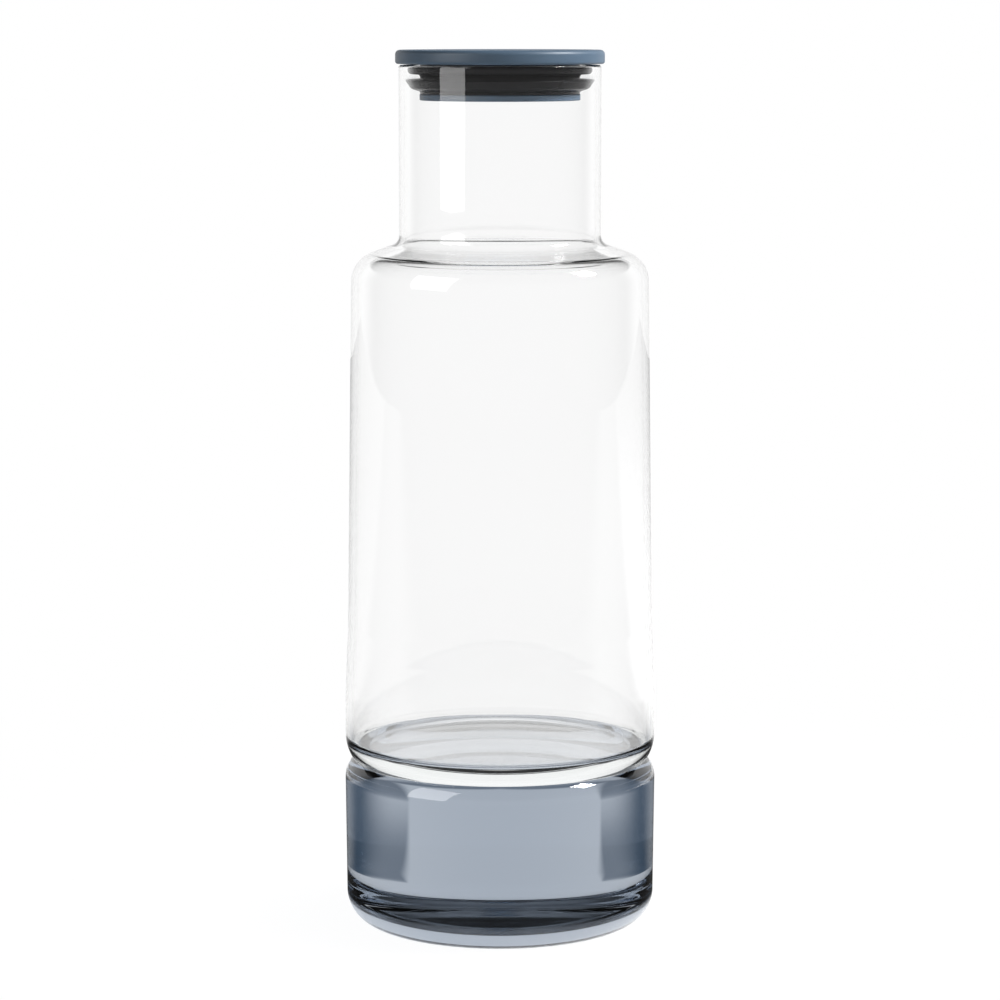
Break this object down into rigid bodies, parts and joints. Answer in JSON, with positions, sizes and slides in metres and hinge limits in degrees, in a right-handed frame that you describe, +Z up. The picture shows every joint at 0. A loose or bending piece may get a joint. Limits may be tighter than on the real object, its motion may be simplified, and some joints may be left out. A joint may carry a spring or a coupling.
{
  "type": "glass carafe",
  "caption": "Tall clear glass carafe with a straight neck, a solid smoke-tinted base and a lift-out stopper with a lip seal.",
  "frame": {"origin": "centre of the foot, in the plane that the carafe stands on", "axes": "+Z is up along the carafe's axis, through the neck and the stopper; the object is a body of revolution, so +X and +Y are free"},
  "size_m": [0.1014, 0.1014, 0.2845],
  "materials": {
    "clear_glass": "clear, polished",
    "smoke_glass": "smoke-blue tint through the glass, polished",
    "lid_plastic": "fine satin moulding",
    "seal_silicone": "satin silicone"
  },
  "bodies": {
    "carafe": {"clear_vessel": "clear_glass", "smoke_base": "smoke_glass"},
    "stopper": {"lid_disc": "lid_plastic", "plug_cup": "lid_plastic", "seal_ring": "seal_silicone"}
  },
  "joints": [
    {"name": "stopper_lift", "type": "slide", "parent": "carafe", "child": "stopper", "axis": [0, 0, 1], "range_m": [0, 0.08]}
  ]
}
